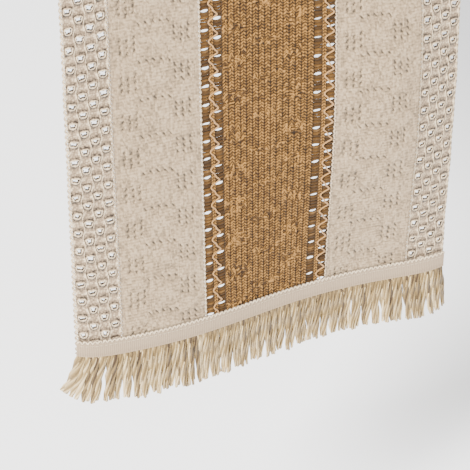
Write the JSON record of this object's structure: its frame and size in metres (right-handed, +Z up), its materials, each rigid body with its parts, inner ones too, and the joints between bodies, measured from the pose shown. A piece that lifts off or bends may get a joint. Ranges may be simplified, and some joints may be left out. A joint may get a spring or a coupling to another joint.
{
  "type": "table runner",
  "caption": "Openwork knitted table runner with a jute centre strip between cream panels, hanging over both table ends, with a cotton fringe along each end.",
  "frame": {"origin": "centre of the underside of the runner's middle part, where it lies on the table", "axes": "+X across the runner to the right of someone facing its front end, +Y along it from the front end to the back end, +Z up"},
  "size_m": [0.3142, 1.1096, 0.368],
  "materials": {
    "cream_cotton": "matt cream cotton yarn, machine knitted in openwork and lace patterns",
    "jute": "matt tan-brown jute yarn, knitted in ribs",
    "pale_cotton": "matt pale beige cotton yarn",
    "tape": "matt ribbed cotton tape",
    "thread": "fine cream sewing thread",
    "fringe_cotton": "soft twisted cream cotton strands"
  },
  "bodies": {
    "top": {"left_openwork_top": "cream_cotton", "left_cream_panel_top": "cream_cotton", "jute_panel_top": "jute", "right_cream_panel_top": "cream_cotton", "right_openwork_top": "cream_cotton", "left_outer_seam_top": "cream_cotton", "left_inner_seam_top": "cream_cotton", "right_inner_seam_top": "cream_cotton", "right_outer_seam_top": "cream_cotton", "left_selvedge_top": "cream_cotton", "right_selvedge_top": "cream_cotton", "left_ladder_cord_top": "pale_cotton", "right_ladder_cord_top": "pale_cotton"},
    "front_drop": {"left_openwork_front": "cream_cotton", "left_cream_panel_front": "cream_cotton", "jute_panel_front": "jute", "right_cream_panel_front": "cream_cotton", "right_openwork_front": "cream_cotton", "left_outer_seam_front": "cream_cotton", "left_inner_seam_front": "cream_cotton", "right_inner_seam_front": "cream_cotton", "right_outer_seam_front": "cream_cotton", "left_selvedge_front": "cream_cotton", "right_selvedge_front": "cream_cotton", "left_ladder_cord_front": "pale_cotton", "right_ladder_cord_front": "pale_cotton", "fringe_tape_front": "tape", "tape_stitching_front": "thread"},
    "back_drop": {"left_openwork_back": "cream_cotton", "left_cream_panel_back": "cream_cotton", "jute_panel_back": "jute", "right_cream_panel_back": "cream_cotton", "right_openwork_back": "cream_cotton", "left_outer_seam_back": "cream_cotton", "left_inner_seam_back": "cream_cotton", "right_inner_seam_back": "cream_cotton", "right_outer_seam_back": "cream_cotton", "left_selvedge_back": "cream_cotton", "right_selvedge_back": "cream_cotton", "left_ladder_cord_back": "pale_cotton", "right_ladder_cord_back": "pale_cotton", "fringe_tape_back": "tape", "tape_stitching_back": "thread"},
    "front_fringe": {"fringe_strands_front": "fringe_cotton"},
    "back_fringe": {"fringe_strands_back": "fringe_cotton"}
  },
  "joints": [
    {"name": "front_fold", "type": "hinge", "parent": "top", "child": "front_drop", "pos_m": [0, -0.55008, 0.00008], "axis": [-1, 0, 0], "range_deg": [0, 90]},
    {"name": "back_fold", "type": "hinge", "parent": "top", "child": "back_drop", "pos_m": [0, 0.55008, 0.00008], "axis": [1, 0, 0], "range_deg": [0, 90]},
    {"name": "front_fringe_swing", "type": "hinge", "parent": "front_drop", "child": "front_fringe", "pos_m": [0, -0.55195, -0.3245], "axis": [-1, 0, 0], "range_deg": [-45, 75]},
    {"name": "back_fringe_swing", "type": "hinge", "parent": "back_drop", "child": "back_fringe", "pos_m": [0, 0.55195, -0.3245], "axis": [1, 0, 0], "range_deg": [-45, 75]}
  ]
}
